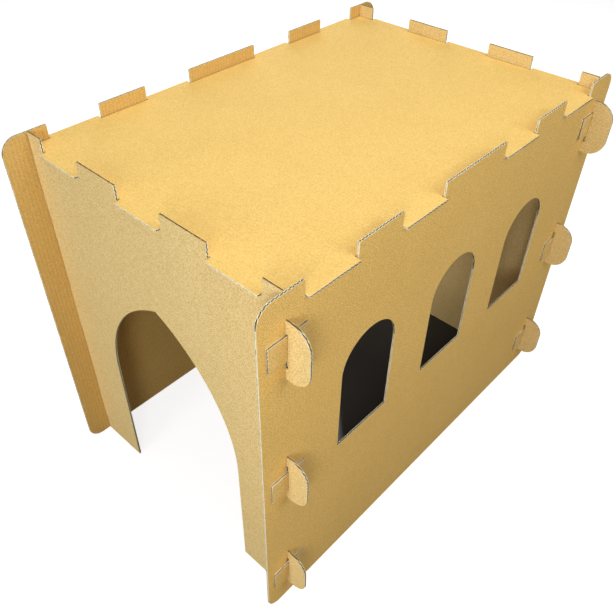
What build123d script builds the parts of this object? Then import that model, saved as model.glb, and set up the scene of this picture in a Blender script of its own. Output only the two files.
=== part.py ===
from build123d import *
import os

os.makedirs("parts", exist_ok=True)

# Corrugated board castle. Lengths in millimetres.
# X runs across the castle, Y along it (door at the -Y end), Z up from the floor.

# Overall sizes
castle_length = 1200.0
castle_width = 738.0
castle_height = 955.0
board = 5.0

# Battlements: merlons stand up, crenels are the gaps between them
crenel_depth = 36.0
merlon = 123.0
middle_merlon = 213.0
side_crenel = 131.5
end_crenel = 130.0
corner_radius = 38.0

# Door in the front wall, a pointed arch
door_width = 440.0
door_spring = 353.0
door_top = 687.0

# Round-topped windows in the long walls
window_width = 167.0
window_sill = 429.0
window_top = 726.0
window_pitch = 299.0

# Joints between the walls: rounded tabs through slots, locked by keys
end_inset = 62.0
tab_reach = 55.0
tab_height = 134.0
tab_corner = 44.0
tab_pitch = 354.5
slot_fit = 0.6
slit_height = 78.0
slit_fit = 0.6
key_length = 92.0
key_height = 58.0
top_key_lift = 18.0

# Roof sheet
roof_overhang = 8.0
notch_fit = 2.5

# Values that follow from the ones above
half_width = castle_width / 2
half_length = castle_length / 2
middle_height = castle_height / 2
roof_level = castle_height - crenel_depth
end_face = half_length - end_inset
end_centre = end_face - board / 2
inner_width = castle_width - 2 * board
tab_levels = [middle_height - tab_pitch, middle_height, middle_height + tab_pitch]
slit_width = board + slit_fit
window_spring = window_top - window_width / 2
door_rise = door_top - door_spring
door_radius = (door_rise**2 + (door_width / 2) ** 2) / door_width
door_offset = door_radius - door_width / 2

# Centres of the crenels, measured from the middle of each wall
side_step = side_crenel / 2 + merlon / 2
side_near = middle_merlon / 2 + side_crenel / 2
side_crenels = [-side_near - 2 * side_step, -side_near, side_near, side_near + 2 * side_step]
end_step = end_crenel + merlon
end_crenels = [-end_step, 0, end_step]

# Centres of the merlons between two crenels, and where the corner merlons begin
side_merlon_at = side_near + side_step
end_merlon_at = end_step / 2
side_corner = side_crenels[3] + side_crenel / 2
end_corner = end_crenels[2] + end_crenel / 2


# One cutting pattern serves both long walls.
with BuildSketch() as side_pattern:
    with Locations((0, middle_height)):
        RectangleRounded(castle_length, castle_height, corner_radius)
    for along in side_crenels:
        with Locations((along, castle_height)):
            Rectangle(side_crenel, 2 * crenel_depth, mode=Mode.SUBTRACT)
    for along in (-window_pitch, 0, window_pitch):
        with Locations((along, (window_sill + window_spring) / 2)):
            Rectangle(window_width, window_spring - window_sill, mode=Mode.SUBTRACT)
        with Locations((along, window_spring)):
            Circle(window_width / 2, mode=Mode.SUBTRACT)
    for level in tab_levels:
        with Locations((-end_centre, level), (end_centre, level)):
            Rectangle(board + 2 * slot_fit, tab_height + 2 * slot_fit, mode=Mode.SUBTRACT)

# One cutting pattern serves both end walls; the door is cut from the front one only.
with BuildSketch() as end_pattern:
    with Locations((0, middle_height)):
        Rectangle(inner_width, castle_height)
    for level in tab_levels:
        with Locations((0, level)):
            RectangleRounded(castle_width + 2 * tab_reach, tab_height, tab_corner)
        slit_at = half_width + slit_width / 2
        with Locations((-slit_at, level), (slit_at, level)):
            Rectangle(slit_width, slit_height, mode=Mode.SUBTRACT)
    for across in end_crenels:
        with Locations((across, castle_height)):
            Rectangle(end_crenel, 2 * crenel_depth, mode=Mode.SUBTRACT)

with BuildSketch() as door_pattern:
    with Locations((door_offset, door_spring)):
        Circle(door_radius)
    with Locations((-door_offset, door_spring)):
        Circle(door_radius, mode=Mode.INTERSECT)
    with Locations((0, door_spring / 2)):
        Rectangle(door_width, door_spring)

right_plane = Plane(origin=(half_width - board, 0, 0), x_dir=(0, 1, 0), z_dir=(1, 0, 0))
left_plane = Plane(origin=(-half_width, 0, 0), x_dir=(0, 1, 0), z_dir=(1, 0, 0))
front_plane = Plane(origin=(0, board - end_face, 0), x_dir=(1, 0, 0), z_dir=(0, -1, 0))
back_plane = Plane(origin=(0, end_face, 0), x_dir=(1, 0, 0), z_dir=(0, -1, 0))
roof_plane = Plane.XY.offset(roof_level)

with BuildPart() as right_wall:
    with BuildSketch(right_plane):
        add(side_pattern.sketch)
    extrude(amount=board)
right_wall.part.label = "right_wall"
export_step(right_wall.part, "parts/right_wall.step")

with BuildPart() as left_wall:
    with BuildSketch(left_plane):
        add(side_pattern.sketch)
    extrude(amount=board)
left_wall.part.label = "left_wall"
export_step(left_wall.part, "parts/left_wall.step")

with BuildPart() as front_wall:
    with BuildSketch(front_plane):
        add(end_pattern.sketch)
        add(door_pattern.sketch, mode=Mode.SUBTRACT)
    extrude(amount=board)
front_wall.part.label = "front_wall"
export_step(front_wall.part, "parts/front_wall.step")

with BuildPart() as back_wall:
    with BuildSketch(back_plane):
        add(end_pattern.sketch)
    extrude(amount=board)
back_wall.part.label = "back_wall"
export_step(back_wall.part, "parts/back_wall.step")

# The roof lies on the crenel bottoms; notches clear every merlon by the same gap.
notch_depth = board + notch_fit + roof_overhang
side_notch = half_width + roof_overhang - notch_depth / 2
end_notch = end_face + roof_overhang - notch_depth / 2
side_corner_notch = end_face + roof_overhang - side_corner + notch_fit
end_corner_notch = half_width + roof_overhang - end_corner + notch_fit

with BuildPart() as roof:
    with BuildSketch(roof_plane):
        Rectangle(castle_width + 2 * roof_overhang, 2 * (end_face + roof_overhang))
        for side in (-1, 1):
            with Locations((side * side_notch, 0)):
                Rectangle(notch_depth, middle_merlon + 2 * notch_fit, mode=Mode.SUBTRACT)
            for along in (-side_merlon_at, side_merlon_at):
                with Locations((side * side_notch, along)):
                    Rectangle(notch_depth, merlon + 2 * notch_fit, mode=Mode.SUBTRACT)
            for across in (-end_merlon_at, end_merlon_at):
                with Locations((across, side * end_notch)):
                    Rectangle(merlon + 2 * notch_fit, notch_depth, mode=Mode.SUBTRACT)
            for end in (-1, 1):
                corner_y = end_face + roof_overhang - side_corner_notch / 2
                with Locations((side * side_notch, end * corner_y)):
                    Rectangle(notch_depth, side_corner_notch, mode=Mode.SUBTRACT)
                corner_x = half_width + roof_overhang - end_corner_notch / 2
                with Locations((side * corner_x, end * end_notch)):
                    Rectangle(end_corner_notch, notch_depth, mode=Mode.SUBTRACT)
    extrude(amount=board)
roof.part.label = "roof"
export_step(roof.part, "parts/roof.step")

# Twelve plain keys, one through the slit of each tab, lying against the long walls.
key_seat = (key_height - slit_height) / 2
key_lifts = {"low": 0.0, "mid": 0.0, "top": top_key_lift}
for end_name, end in (("front", -1), ("back", 1)):
    for side_name, side in (("left", -1), ("right", 1)):
        for (level_name, lift), level in zip(key_lifts.items(), tab_levels):
            key_centre = (
                side * (half_width + board / 2),
                end * end_centre,
                level + key_seat + lift,
            )
            with BuildPart() as key:
                with Locations(key_centre):
                    Box(board, key_length, key_height)
            key.part.label = f"key_{end_name}_{side_name}_{level_name}"
            export_step(key.part, f"parts/{key.part.label}.step")
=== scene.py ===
import math
import random

import bmesh
import bpy
from mathutils import Matrix, Vector


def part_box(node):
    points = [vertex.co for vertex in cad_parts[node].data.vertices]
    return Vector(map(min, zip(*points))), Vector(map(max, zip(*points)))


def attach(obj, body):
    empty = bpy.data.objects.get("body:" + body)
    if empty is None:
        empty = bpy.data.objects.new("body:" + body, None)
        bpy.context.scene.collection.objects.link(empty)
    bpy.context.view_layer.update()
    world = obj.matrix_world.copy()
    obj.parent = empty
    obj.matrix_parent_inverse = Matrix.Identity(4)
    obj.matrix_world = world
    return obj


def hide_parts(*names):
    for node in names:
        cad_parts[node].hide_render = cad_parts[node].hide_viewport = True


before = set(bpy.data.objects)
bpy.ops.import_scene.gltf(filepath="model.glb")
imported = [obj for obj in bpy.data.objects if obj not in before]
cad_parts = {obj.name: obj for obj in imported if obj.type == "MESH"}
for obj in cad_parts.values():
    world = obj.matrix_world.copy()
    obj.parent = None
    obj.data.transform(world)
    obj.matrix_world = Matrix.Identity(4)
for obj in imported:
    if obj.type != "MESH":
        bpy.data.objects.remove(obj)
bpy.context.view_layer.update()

# ---------------------------------------------------------------- sizes, in metres
# Overall sizes come from the frame, the cut-outs are the part's own named sizes.
wall_low, wall_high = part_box("right_wall")
front_low, front_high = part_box("front_wall")
roof_low, roof_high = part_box("roof")
BOARD = wall_high.x - wall_low.x
LENGTH = wall_high.y - wall_low.y
HEIGHT = wall_high.z
WIDTH = 2 * wall_high.x
END_FACE = -front_low.y
TAB_TIP = front_high.x
ROOF_LEVEL = roof_low.z
ROOF_X = roof_high.x
ROOF_Y = roof_high.y

MERLON = 0.123
MIDDLE_MERLON = 0.213
SIDE_CRENEL = 0.1315
END_CRENEL = 0.130
CORNER_RADIUS = 0.038
DOOR_WIDTH = 0.440
DOOR_SPRING = 0.353
DOOR_TOP = 0.687
WINDOW_WIDTH = 0.167
WINDOW_SILL = 0.429
WINDOW_TOP = 0.726
WINDOW_PITCH = 0.299
TAB_HEIGHT = 0.134
TAB_CORNER = 0.044
TAB_PITCH = 0.3545
SLOT_FIT = 0.0006
SLIT_WIDTH = 0.0056
SLIT_HEIGHT = 0.078
NOTCH_FIT = 0.0025

INNER_WIDTH = WIDTH - 2 * BOARD
CORNER_GAP = 0.0014  # the dark joint between an end wall and a side wall
END_CENTRE = END_FACE - BOARD / 2
TAB_LEVELS = [HEIGHT / 2 - TAB_PITCH, HEIGHT / 2, HEIGHT / 2 + TAB_PITCH]
SIDE_NEAR = MIDDLE_MERLON / 2 + SIDE_CRENEL / 2
SIDE_FAR = SIDE_NEAR + SIDE_CRENEL + MERLON
SIDE_CRENELS = [-SIDE_FAR, -SIDE_NEAR, SIDE_NEAR, SIDE_FAR]
END_CRENELS = [-END_CRENEL - MERLON, 0.0, END_CRENEL + MERLON]

# Corrugated board: two liners and a fluted medium between them
FLUTE_PITCH = 0.0092
LINER = 0.0009
MEDIUM = 0.0008
STEPS_PER_FLUTE = 10

# Crushed paper just inside an edge that runs along the flutes
WEB_THICKNESS = 0.0004
WEB_STEP = 0.005
SHORTEST_WEB = 0.006
FLUSH = (0.00005, 0.0004)
SUNK = (0.0006, 0.0013)

# Distances that only tell one point from the next
TINY = 1e-6
STRAIGHT = 1e-5
WELD = 3e-5
JUST_INSIDE = 1e-4


# ---------------------------------------------------------------- outlines
# An outline is a list of (across, along) points; straight runs have only their ends.
def arc(centre, radius, start, end, steps):
    """Points on an arc, angles in degrees."""
    points = []
    for i in range(steps + 1):
        angle = math.radians(start + (end - start) * i / steps)
        x, y = radius * math.cos(angle), radius * math.sin(angle)
        points.append((centre[0] + x, centre[1] + y))
    return points


def battlements(crenels, width):
    """The top edge from right to left, stepping down into each crenel."""
    points = []
    for centre in reversed(crenels):
        right, left = centre + width / 2, centre - width / 2
        points += [(right, HEIGHT), (right, ROOF_LEVEL), (left, ROOF_LEVEL), (left, HEIGHT)]
    return points


def rectangle(centre, width, height):
    """Four corners, anticlockwise from the lower left."""
    x, y = centre
    return [
        (x - width / 2, y - height / 2),
        (x + width / 2, y - height / 2),
        (x + width / 2, y + height / 2),
        (x - width / 2, y + height / 2),
    ]


def side_outline():
    """A long wall: rounded corners and battlements."""
    end, r = LENGTH / 2, CORNER_RADIUS
    points = arc((-end + r, r), r, 180, 270, 10) + arc((end - r, r), r, 270, 360, 10)
    points += arc((end - r, HEIGHT - r), r, 0, 90, 10)
    points += battlements(SIDE_CRENELS, SIDE_CRENEL)
    return points + arc((-end + r, HEIGHT - r), r, 90, 180, 10)


def side_holes():
    """Three round-topped windows, and a slot for each tab of the end walls."""
    holes = []
    spring = WINDOW_TOP - WINDOW_WIDTH / 2
    for y in (-WINDOW_PITCH, 0.0, WINDOW_PITCH):
        sill = [(y - WINDOW_WIDTH / 2, WINDOW_SILL), (y + WINDOW_WIDTH / 2, WINDOW_SILL)]
        holes.append(sill + arc((y, spring), WINDOW_WIDTH / 2, 0, 180, 36))
    for y in (-END_CENTRE, END_CENTRE):
        for z in TAB_LEVELS:
            slot = rectangle((y, z), BOARD + 2 * SLOT_FIT, TAB_HEIGHT + 2 * SLOT_FIT)
            holes.append(slot)
    return holes


def tab_outline(level):
    """One rounded tab on the right edge, from its lower root to its upper root."""
    low, high, c = level - TAB_HEIGHT / 2, level + TAB_HEIGHT / 2, TAB_CORNER
    root = INNER_WIDTH / 2 - CORNER_GAP
    lower = arc((TAB_TIP - c, low + c), c, -90, 0, 12)
    upper = arc((TAB_TIP - c, high - c), c, 0, 90, 12)
    return [(root, low)] + lower + upper + [(root, high)]


def door_outline():
    """The pointed arch, from its left foot to its right foot."""
    half, rise = DOOR_WIDTH / 2, DOOR_TOP - DOOR_SPRING
    radius = (rise**2 + half**2) / DOOR_WIDTH
    offset = radius - half
    sweep = math.degrees(math.atan2(rise, offset))
    left = arc((offset, DOOR_SPRING), radius, 180, 180 - sweep, 28)
    right = arc((-offset, DOOR_SPRING), radius, sweep, 0, 28)
    return [(-half, 0.0)] + left + right[1:] + [(half, 0.0)]


def end_outline(with_door):
    """An end wall: battlements, three tabs a side and, at the front, the door."""
    edge = INNER_WIDTH / 2 - CORNER_GAP
    right = [point for level in TAB_LEVELS for point in tab_outline(level)]
    left = [(-x, z) for x, z in reversed(right)]
    foot = door_outline() if with_door else []
    points = [(-edge, 0.0)] + foot + [(edge, 0.0)] + right
    points += [(edge, HEIGHT)] + battlements(END_CRENELS, END_CRENEL)
    return points + [(-edge, HEIGHT)] + left


def end_holes():
    """The slit in each tab, just outside the long wall, that a key goes through."""
    slit_at = WIDTH / 2 + SLIT_WIDTH / 2
    centres = [(side * slit_at, z) for side in (-1, 1) for z in TAB_LEVELS]
    return [rectangle(centre, SLIT_WIDTH, SLIT_HEIGHT) for centre in centres]


def roof_outline():
    """The roof sheet, anticlockwise from its front left corner, with a tab in each crenel."""
    inner_x = WIDTH / 2 - BOARD - NOTCH_FIT
    inner_y = END_FACE - BOARD - NOTCH_FIT
    half_end = END_CRENEL / 2 - NOTCH_FIT
    half_side = SIDE_CRENEL / 2 - NOTCH_FIT
    front, right = [(-inner_x, -inner_y)], [(inner_x, -inner_y)]
    for x in END_CRENELS:
        start, stop = x - half_end, x + half_end
        front += [(start, -inner_y), (start, -ROOF_Y), (stop, -ROOF_Y), (stop, -inner_y)]
    for y in SIDE_CRENELS:
        start, stop = y - half_side, y + half_side
        right += [(inner_x, start), (ROOF_X, start), (ROOF_X, stop), (inner_x, stop)]
    return front + right + [(-x, -y) for x, y in front + right]


# ---------------------------------------------------------------- materials
# Noise scales, in features a metre, from broad clouds to single fibres
CLOUD_SCALE = 7.0
BLOTCH_SCALE = 60.0
CUT_BLOTCH_SCALE = 90.0
SPECK_SCALE = 520.0
FIBRE_SCALE = 900.0


def node_tools(name):
    """A new material and two short helpers to add and join its nodes."""
    material = bpy.data.materials.new(name)
    material.use_nodes = True
    nodes, links = material.node_tree.nodes, material.node_tree.links
    nodes.clear()

    def add(kind, **values):
        node = nodes.new(kind)
        for key, value in values.items():
            setattr(node, key, value)
        return node

    def join(source, target):
        links.new(source, target)

    return material, add, join


def math_node(add, join, operation, first, second):
    """One operation on two values, each a socket or a plain number."""
    node = add("ShaderNodeMath", operation=operation)
    for socket, value in zip(node.inputs, (first, second)):
        if isinstance(value, float):
            socket.default_value = value
        else:
            join(value, socket)
    return node.outputs[0]


def noise_node(add, join, vector, scale, detail, rough):
    """Soft noise between 0 and 1."""
    node = add("ShaderNodeTexNoise")
    node.inputs["Scale"].default_value = scale
    node.inputs["Detail"].default_value = detail
    node.inputs["Roughness"].default_value = rough
    join(vector, node.inputs["Vector"])
    return node.outputs["Fac"]


def tint_node(add, join, colour, shade, fac, low, high):
    """Multiplies colour by shade where fac rises from low to high."""
    ramp = add("ShaderNodeMapRange")
    ramp.inputs["From Min"].default_value = low
    ramp.inputs["From Max"].default_value = high
    join(fac, ramp.inputs["Value"])
    mix = add("ShaderNodeMix", data_type="RGBA", blend_type="MULTIPLY")
    join(ramp.outputs[0], mix.inputs["Factor"])
    join(colour, mix.inputs["A"])
    mix.inputs["B"].default_value = (*shade, 1.0)
    return mix.outputs["Result"]


def kraft(name, colour, across, seed, washboard, fleck):
    """Brown liner paper: mottled, speckled with fibres, and the flutes faintly showing through.
    across is the axis across the flutes, washboard their shade and fleck the fibres' strength."""
    material, add, join = node_tools(name)
    place = add("ShaderNodeTexCoord").outputs["Object"]
    shifted = add("ShaderNodeMapping")
    shifted.inputs["Location"].default_value = (seed * 1.7, seed * 2.3, seed * 0.9)
    join(place, shifted.inputs["Vector"])
    base = add("ShaderNodeRGB")
    base.outputs[0].default_value = (*colour, 1.0)
    split = add("ShaderNodeSeparateXYZ")
    join(place, split.inputs[0])
    turn = math_node(add, join, "MULTIPLY", split.outputs[across], math.tau / FLUTE_PITCH)
    ridges = math_node(add, join, "SINE", turn, 0.0)
    cloud = noise_node(add, join, shifted.outputs[0], CLOUD_SCALE, 3.0, 0.55)
    patch = noise_node(add, join, shifted.outputs[0], BLOTCH_SCALE, 4.0, 0.6)
    speck = noise_node(add, join, shifted.outputs[0], SPECK_SCALE, 2.0, 0.6)
    tone = tint_node(add, join, base.outputs[0], (0.975, 0.965, 0.94), cloud, 0.35, 0.7)
    tone = tint_node(add, join, tone, (0.97, 0.96, 0.93), patch, 0.4, 0.75)
    fibre_tint = (1 - fleck, 1 - 1.2 * fleck, 1 - 1.9 * fleck)
    tone = tint_node(add, join, tone, fibre_tint, speck, 0.42, 0.66)
    ridge_tint = (washboard, washboard, washboard - 0.02)
    tone = tint_node(add, join, tone, ridge_tint, ridges, -0.2, 1.0)
    shader = add("ShaderNodeBsdfPrincipled")
    join(tone, shader.inputs["Base Color"])
    rough = add("ShaderNodeMapRange")
    rough.inputs["To Min"].default_value = 0.72
    rough.inputs["To Max"].default_value = 0.9
    join(patch, rough.inputs["Value"])
    join(rough.outputs[0], shader.inputs["Roughness"])
    shader.inputs["Specular IOR Level"].default_value = 0.25
    low_ridges = math_node(add, join, "MULTIPLY", ridges, 0.12)
    height = math_node(add, join, "ADD", speck, low_ridges)
    bump = add("ShaderNodeBump")
    bump.inputs["Strength"].default_value = 0.35
    bump.inputs["Distance"].default_value = 0.0004
    join(height, bump.inputs["Height"])
    join(bump.outputs[0], shader.inputs["Normal"])
    join(shader.outputs[0], add("ShaderNodeOutputMaterial").inputs["Surface"])
    return material


def torn(name, colour):
    """A cut paper edge: pale, fibrous and matt. Given a near-black colour, it is also the painted
    shade inside the board.
    """
    material, add, join = node_tools(name)
    place = add("ShaderNodeTexCoord").outputs["Object"]
    base = add("ShaderNodeRGB")
    base.outputs[0].default_value = (*colour, 1.0)
    fibre = noise_node(add, join, place, FIBRE_SCALE, 3.0, 0.7)
    patch = noise_node(add, join, place, CUT_BLOTCH_SCALE, 2.0, 0.5)
    tone = tint_node(add, join, base.outputs[0], (0.8, 0.74, 0.6), fibre, 0.45, 0.8)
    tone = tint_node(add, join, tone, (0.88, 0.82, 0.7), patch, 0.4, 0.75)
    shader = add("ShaderNodeBsdfPrincipled")
    join(tone, shader.inputs["Base Color"])
    shader.inputs["Roughness"].default_value = 0.92
    shader.inputs["Specular IOR Level"].default_value = 0.1
    bump = add("ShaderNodeBump")
    bump.inputs["Strength"].default_value = 0.5
    bump.inputs["Distance"].default_value = 0.0003
    join(fibre, bump.inputs["Height"])
    join(bump.outputs[0], shader.inputs["Normal"])
    join(shader.outputs[0], add("ShaderNodeOutputMaterial").inputs["Surface"])
    return material


Y, Z = 1, 2  # numbers of the axes across the flutes
# Painted light and shade: walls, roof and keys are one kraft paper, and their different colours
# stand in for how light falls on each; the left wall is darkest, the end walls paler and cooler.
right_liner = kraft("right_liner", (0.975, 0.652, 0.224), Y, 1, 0.98, 0.42)
left_liner = kraft("left_liner", (0.82, 0.540, 0.185), Y, 5, 0.91, 0.30)
end_liner = kraft("end_liner", (0.965, 0.746, 0.374), Z, 2, 0.975, 0.36)
roof_liner = kraft("roof_liner", (0.975, 0.660, 0.208), Y, 3, 0.98, 0.20)
key_liner = kraft("key_liner", (0.86, 0.605, 0.238), Z, 4, 0.975, 0.32)
cut_edge = torn("cut_edge", (0.98, 0.91, 0.66))
worn_edge = torn("worn_edge", (0.72, 0.53, 0.25))
# Painted shade: the fluted medium and the liners' inner faces are nearly black, for the shade deep
# in the flutes, though the real paper is brown.
medium_painted_shade = torn("medium_painted_shade", (0.07, 0.045, 0.02))


# ---------------------------------------------------------------- corrugated board
def spans(loops, u):
    """The stretches of v that lie inside the loops at one u."""
    hits = []
    for loop in loops:
        for (u0, v0), (u1, v1) in zip(loop, loop[1:] + loop[:1]):
            if (u0 <= u) != (u1 <= u):
                hits.append(v0 + (u - u0) * (v1 - v0) / (u1 - u0))
    hits.sort()
    return list(zip(hits[::2], hits[1::2]))


def fluted_medium(loops):
    """Vertices, faces and which faces are cuts, of the wavy middle sheet; the flutes run along v."""
    corners = [u for loop in loops for u, _ in loop]
    lowest, highest = min(corners), max(corners)
    step = FLUTE_PITCH / STEPS_PER_FLUTE
    first, last = math.floor(lowest / step), math.ceil(highest / step)
    columns = sorted(set(corners) | {i * step for i in range(first + 1, last)})
    columns = [u for i, u in enumerate(columns) if i == 0 or u - columns[i - 1] > TINY]
    swing = BOARD / 2 - LINER - MEDIUM / 2
    verts, faces, cuts = [], [], []

    def rim(u, v):
        """The two points, front and back of the medium, at one place."""
        turn = math.tau * u / FLUTE_PITCH
        slope = swing * math.tau / FLUTE_PITCH * math.cos(turn)
        size = MEDIUM / 2 / math.hypot(1, slope)
        w = swing * math.sin(turn)
        for way in (-1, 1):
            level = min(max(u + way * slope * size, lowest), highest)
            verts.append((level, v, w - way * size))
        return len(verts) - 2

    for u0, u1 in zip(columns, columns[1:]):
        near, far = spans(loops, u0 + TINY), spans(loops, u1 - TINY)
        if len(near) != len(far):
            near = far = spans(loops, (u0 + u1) / 2)
        for (low0, high0), (low1, high1) in zip(near, far):
            a, b, c, d = rim(u0, low0), rim(u1, low1), rim(u1, high1), rim(u0, high0)
            faces += [(a, b, c, d), (a + 1, d + 1, c + 1, b + 1)]
            faces += [(a, a + 1, b + 1, b), (d, c, c + 1, d + 1)]
            cuts += [False, False, True, True]
    return verts, faces, cuts


def edge_webs(loops, shallow, deep, rng):
    """Vertices and faces of the crushed paper just inside each edge that runs along the flutes,
    dented between shallow and deep."""
    verts, faces = [], []
    reach = BOARD / 2 - LINER
    for loop in loops:
        for (u0, v0), (u1, v1) in zip(loop, loop[1:] + loop[:1]):
            if abs(u1 - u0) > STRAIGHT or abs(v1 - v0) < SHORTEST_WEB:
                continue
            middle = (v0 + v1) / 2
            beyond = spans(loops, u0 + JUST_INSIDE)
            inside = any(low < middle < high for low, high in beyond)
            inward = 1 if inside else -1
            steps = max(2, round(abs(v1 - v0) / WEB_STEP))
            for i in range(steps + 1):
                v = v0 + (v1 - v0) * i / steps
                dent = [rng.uniform(shallow, deep) for _ in range(3)]
                for back in (0.0, WEB_THICKNESS):
                    for w, depth in zip((-reach, 0.0, reach), dent):
                        verts.append((u0 + inward * (depth + back), v, w))
                n, m = len(verts) - 6, len(verts) - 12
                if i in (0, steps):
                    faces += [(n, n + 1, n + 4, n + 3), (n + 1, n + 2, n + 5, n + 4)]
                if i > 0:
                    faces += [(m, m + 1, n + 1, n), (m + 1, m + 2, n + 2, n + 1)]
                    faces += [(m + 3, n + 3, n + 4, m + 4), (m + 4, n + 4, n + 5, m + 5)]
                    faces += [(m, n, n + 3, m + 3), (n + 2, m + 2, m + 5, n + 5)]
    return verts, faces


def liner_mesh(loops):
    """A flat filled sheet of liner paper, lying at w = 0."""
    curve = bpy.data.curves.new("liner", "CURVE")
    curve.dimensions = "2D"
    curve.fill_mode = "BOTH"
    curve.extrude = LINER / 2
    for loop in loops:
        spline = curve.splines.new("POLY")
        spline.points.add(len(loop) - 1)
        for point, (u, v) in zip(spline.points, loop):
            point.co = (u, v, 0.0, 1.0)
        spline.use_cyclic_u = True
    holder = bpy.data.objects.new("liner", curve)
    mesh = bpy.data.meshes.new_from_object(holder)
    bpy.data.objects.remove(holder)
    bpy.data.curves.remove(curve)
    return mesh


OUTSIDE, CUT, INSIDE, EDGE = 0, 1, 2, 3  # a board's paper slots


def add_shell(bm, verts, faces, slots, put):
    """Adds the faces to bm, welds them and turns them outwards. put gives the frame's point
    for (u, v, w)."""
    made = [bm.verts.new(put(u, v, w)) for u, v, w in verts]
    added = [bm.faces.new([made[i] for i in face]) for face in faces]
    for face, slot in zip(added, slots):
        face.material_index = slot
    bmesh.ops.remove_doubles(bm, verts=made, dist=WELD)
    bmesh.ops.recalc_face_normals(bm, faces=[face for face in added if face.is_valid])


def add_liners(bm, loops, place, along):
    """The two flat faces of the board, their rims split by whether they cut across the flutes."""
    flat = liner_mesh(loops)
    for side in (-1, 1):
        start = len(bm.verts)
        bm.from_mesh(flat)
        bm.verts.ensure_lookup_table()
        for vert in bm.verts[start:]:
            a, b, w = vert.co
            vert.co = place(a, b, side * (BOARD - LINER) / 2 + w)
    bpy.data.meshes.remove(flat)
    bmesh.ops.remove_doubles(bm, verts=bm.verts[:], dist=TINY)
    bmesh.ops.recalc_face_normals(bm, faces=bm.faces[:])
    centre = place(0, 0, 0)
    normal = place(0, 0, 1) - centre
    for face in bm.faces:
        depth = abs((face.calc_center_median() - centre).dot(normal))
        if abs(face.normal.dot(normal)) > 0.7:
            face.material_index = OUTSIDE if depth > BOARD / 2 - LINER / 2 else INSIDE
        else:
            face.material_index = CUT if abs(face.normal.dot(along)) > 0.5 else EDGE


def corrugated(node, loops, turned, place, papers, dents):
    """Builds one sheet of board. loops are in the panel's plane, and the flutes run along its
    second direction, or along its first if turned. place gives a point of the frame for
    (a, b, w). papers are in the order of the slots, and dents are the webs' least and most."""
    rng = random.Random(node)
    bm = bmesh.new()
    along = (place(1, 0, 0) if turned else place(0, 1, 0)) - place(0, 0, 0)
    add_liners(bm, loops, place, along)
    fluted = [[(b, a) for a, b in loop] for loop in loops] if turned else loops
    put = (lambda u, v, w: place(v, u, w)) if turned else place
    verts, faces, cuts = fluted_medium(fluted)
    add_shell(bm, verts, faces, [CUT if cut else INSIDE for cut in cuts], put)
    verts, faces = edge_webs(fluted, *dents, rng)
    add_shell(bm, verts, faces, [EDGE] * len(faces), put)
    mesh = bpy.data.meshes.new(node + "_board")
    bm.to_mesh(mesh)
    bm.free()
    for paper in papers:
        mesh.materials.append(paper)
    piece = bpy.data.objects.new(node + "_board", mesh)
    bpy.context.scene.collection.objects.link(piece)
    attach(piece, "root")
    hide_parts(node)


def upright_along_y(x):
    """Places a panel that stands in the plane of that x."""
    return lambda a, b, w: Vector((x + w, a, b))


def upright_along_x(y):
    """Places a panel that stands in the plane of that y."""
    return lambda a, b, w: Vector((a, y - w, b))


def lying(z):
    """Places a panel that lies in the plane of that z."""
    return lambda a, b, w: Vector((a, b, z + w))


wall_middle = WIDTH / 2 - BOARD / 2
for side_name, side, liner in (("left", -1, left_liner), ("right", 1, right_liner)):
    papers = (liner, cut_edge, medium_painted_shade, cut_edge)
    corrugated(f"{side_name}_wall", [side_outline()] + side_holes(), False,
               upright_along_y(side * wall_middle), papers, FLUSH)
for end_name, end in (("front", -1), ("back", 1)):
    papers = (end_liner, cut_edge, medium_painted_shade, worn_edge)
    corrugated(f"{end_name}_wall", [end_outline(end_name == "front")] + end_holes(), True,
               upright_along_x(end * END_CENTRE), papers, SUNK)
corrugated("roof", [roof_outline()], True, lying(ROOF_LEVEL + BOARD / 2),
           (roof_liner, cut_edge, medium_painted_shade, cut_edge), FLUSH)
for node in sorted(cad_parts):
    if node.startswith("key_"):
        low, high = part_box(node)
        centre = (low + high) / 2
        outline = rectangle((centre.y, centre.z), high.y - low.y, high.z - low.z)
        corrugated(node, [outline], True, upright_along_y(centre.x),
                   (key_liner, cut_edge, medium_painted_shade, cut_edge), SUNK)


# ---------------------------------------------------------------- floor and light
FLOOR_HALF = 9.0
FLOOR_GLOW = 0.82
FLOOR_GREY = (0.38, 0.38, 0.38, 1.0)
BOUNCE_GREY = (0.10, 0.09, 0.08, 1.0)
FADE_FROM, FADE_TO = -0.20, 0.08  # of x + y, over which the painted light from the doorway fades out inwards


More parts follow.
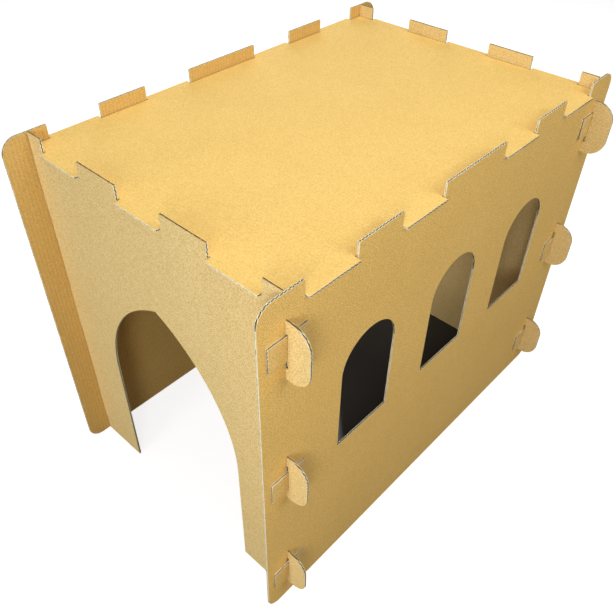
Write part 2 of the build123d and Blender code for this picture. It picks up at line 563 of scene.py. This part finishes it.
def floor_material():
    """White paper as seen outside the castle, and dark to bounced light, so that the walls aren't
    lit from below.
    Inside, a painted pool of light fades from the door inwards, and further in the floor is painted
    dark as shade."""
    material, add, join = node_tools("studio_floor")
    path = add("ShaderNodeLightPath")
    camera_ray, glossy_ray = path.outputs["Is Camera Ray"], path.outputs["Is Glossy Ray"]
    seen = math_node(add, join, "MAXIMUM", camera_ray, glossy_ray)
    split = add("ShaderNodeSeparateXYZ")
    place = add("ShaderNodeTexCoord").outputs["Object"]
    join(place, split.inputs[0])
    sideways = math_node(add, join, "ABSOLUTE", split.outputs[0], 0.0)
    beside = math_node(add, join, "GREATER_THAN", sideways, WIDTH / 2)
    inward = add("ShaderNodeMapRange")
    inward.inputs["From Min"].default_value = FADE_FROM
    inward.inputs["From Max"].default_value = FADE_TO
    inward.inputs["To Min"].default_value = 1.0
    inward.inputs["To Max"].default_value = 0.0
    join(math_node(add, join, "ADD", split.outputs[0], split.outputs[1]), inward.inputs["Value"])
    behind = math_node(add, join, "GREATER_THAN", split.outputs[1], END_FACE)
    outside = math_node(add, join, "MAXIMUM", beside, behind)
    # Painted light: a full white glow outside the castle, and inside a painted pool of light from
    # the door.
    glow_and_painted_light = math_node(add, join, "MAXIMUM", outside, inward.outputs[0])
    pale = add("ShaderNodeBsdfDiffuse")
    grain = noise_node(add, join, place, 30.0, 2.0, 0.5)
    base = add("ShaderNodeRGB")
    base.outputs[0].default_value = FLOOR_GREY
    shade = tint_node(add, join, base.outputs[0], (0.98, 0.98, 0.98), grain, 0.3, 0.7)
    # Painted shade: inside the castle, away from the door, the floor is darkened to a fifth.
    join(tint_node(add, join, shade, (0.2, 0.2, 0.2), glow_and_painted_light, 0.6, 0.0), pale.inputs["Color"])
    glow = add("ShaderNodeEmission")
    join(math_node(add, join, "MULTIPLY", glow_and_painted_light, FLOOR_GLOW), glow.inputs["Strength"])
    both = add("ShaderNodeAddShader")
    join(pale.outputs[0], both.inputs[0])
    join(glow.outputs[0], both.inputs[1])
    dark = add("ShaderNodeBsdfDiffuse")
    dark.inputs["Color"].default_value = BOUNCE_GREY
    mix = add("ShaderNodeMixShader")
    join(seen, mix.inputs["Fac"])
    join(dark.outputs[0], mix.inputs[1])
    join(both.outputs[0], mix.inputs[2])
    join(mix.outputs[0], add("ShaderNodeOutputMaterial").inputs["Surface"])
    return material


floor_mesh = bpy.data.meshes.new("studio_floor")
floor_corners = [(-FLOOR_HALF, -FLOOR_HALF, 0), (FLOOR_HALF, -FLOOR_HALF, 0),
                 (FLOOR_HALF, FLOOR_HALF, 0), (-FLOOR_HALF, FLOOR_HALF, 0)]
floor_mesh.from_pydata(floor_corners, [], [(0, 1, 2, 3)])
floor_mesh.materials.append(floor_material())
floor = bpy.data.objects.new("studio_floor", floor_mesh)
bpy.context.scene.collection.objects.link(floor)

AMBIENT_STRENGTH = 0.225
world = bpy.data.worlds.new("studio")
bpy.context.scene.world = world
world.use_nodes = True
world_nodes, world_links = world.node_tree.nodes, world.node_tree.links
world_nodes.clear()
ambient = world_nodes.new("ShaderNodeBackground")
ambient.inputs["Color"].default_value = (1.0, 1.0, 1.0, 1.0)
ambient.inputs["Strength"].default_value = AMBIENT_STRENGTH
backdrop = world_nodes.new("ShaderNodeBackground")
backdrop.inputs["Color"].default_value = (0.96, 0.96, 0.96, 1.0)
ray = world_nodes.new("ShaderNodeLightPath")
choose = world_nodes.new("ShaderNodeMixShader")
world_output = world_nodes.new("ShaderNodeOutputWorld")
world_links.new(ray.outputs["Is Camera Ray"], choose.inputs["Fac"])
world_links.new(ambient.outputs[0], choose.inputs[1])
world_links.new(backdrop.outputs[0], choose.inputs[2])
world_links.new(choose.outputs[0], world_output.inputs["Surface"])


def area_light(name, place, aim, size, power):
    """A square white lamp at place, facing aim."""
    lamp = bpy.data.lights.new(name, "AREA")
    lamp.shape = "SQUARE"
    lamp.size = size
    lamp.energy = power
    holder = bpy.data.objects.new(name, lamp)
    holder.location = place
    holder.rotation_euler = (Vector(aim) - Vector(place)).to_track_quat("-Z", "Y").to_euler()
    bpy.context.scene.collection.objects.link(holder)


# Each lamp's place, aim, size and power
LAMPS = {
    "overhead_lamp": ((-0.3, -0.1, 3.4), (0.0, 0.0, 0.9), 2.0, 30.5),
    "doorway_lamp": ((0.25, -3.4, 1.15), (0.0, -0.5, 0.5), 1.2, 37.0),
    "corner_lamp": ((1.3, -1.9, 1.5), (0.42, -0.2, 0.6), 0.5, 14.5),
    "right_lamp": ((2.2, -0.2, 2.8), (0.4, 0.0, 0.7), 1.4, 27.0),
    "right_side_lamp": ((2.6, 0.6, 1.9), (0.4, 0.1, 0.6), 1.2, 12.0),
    "back_lamp": ((-2.8, 2.6, 2.0), (0.0, 0.0, 0.5), 2.0, 50.0),
}
for lamp_name, settings in LAMPS.items():
    area_light(lamp_name, *settings)

# ---------------------------------------------------------------- camera
LENS = 39.8166  # millimetres, on a sensor 36 mm wide
SENSOR = 36.0
SHIFT_X, SHIFT_Y = 0.0168, 0.0184
CAMERA_AT = (0.9091, -1.0903, 1.6165)
AZIMUTH, ELEVATION, ROLL = 0.7502, 0.7391, 0.0073  # radians
camera_data = bpy.data.cameras.new("view")
camera_data.sensor_width = SENSOR
camera_data.lens = LENS
camera_data.shift_x = SHIFT_X
camera_data.shift_y = SHIFT_Y
level = Vector((math.cos(AZIMUTH), math.sin(AZIMUTH), 0.0))
outward = Vector((math.sin(AZIMUTH), -math.cos(AZIMUTH), 0.0))
back = math.cos(ELEVATION) * outward + math.sin(ELEVATION) * Vector((0.0, 0.0, 1.0))
upward = back.cross(level)
right = math.cos(ROLL) * level + math.sin(ROLL) * upward
top = math.cos(ROLL) * upward - math.sin(ROLL) * level
turn = Matrix((right, top, back)).transposed().to_4x4()
camera = bpy.data.objects.new("view", camera_data)
camera.matrix_world = Matrix.Translation(CAMERA_AT) @ turn
bpy.context.scene.collection.objects.link(camera)
bpy.context.scene.camera = camera
bpy.context.scene.view_settings.view_transform = "Standard"
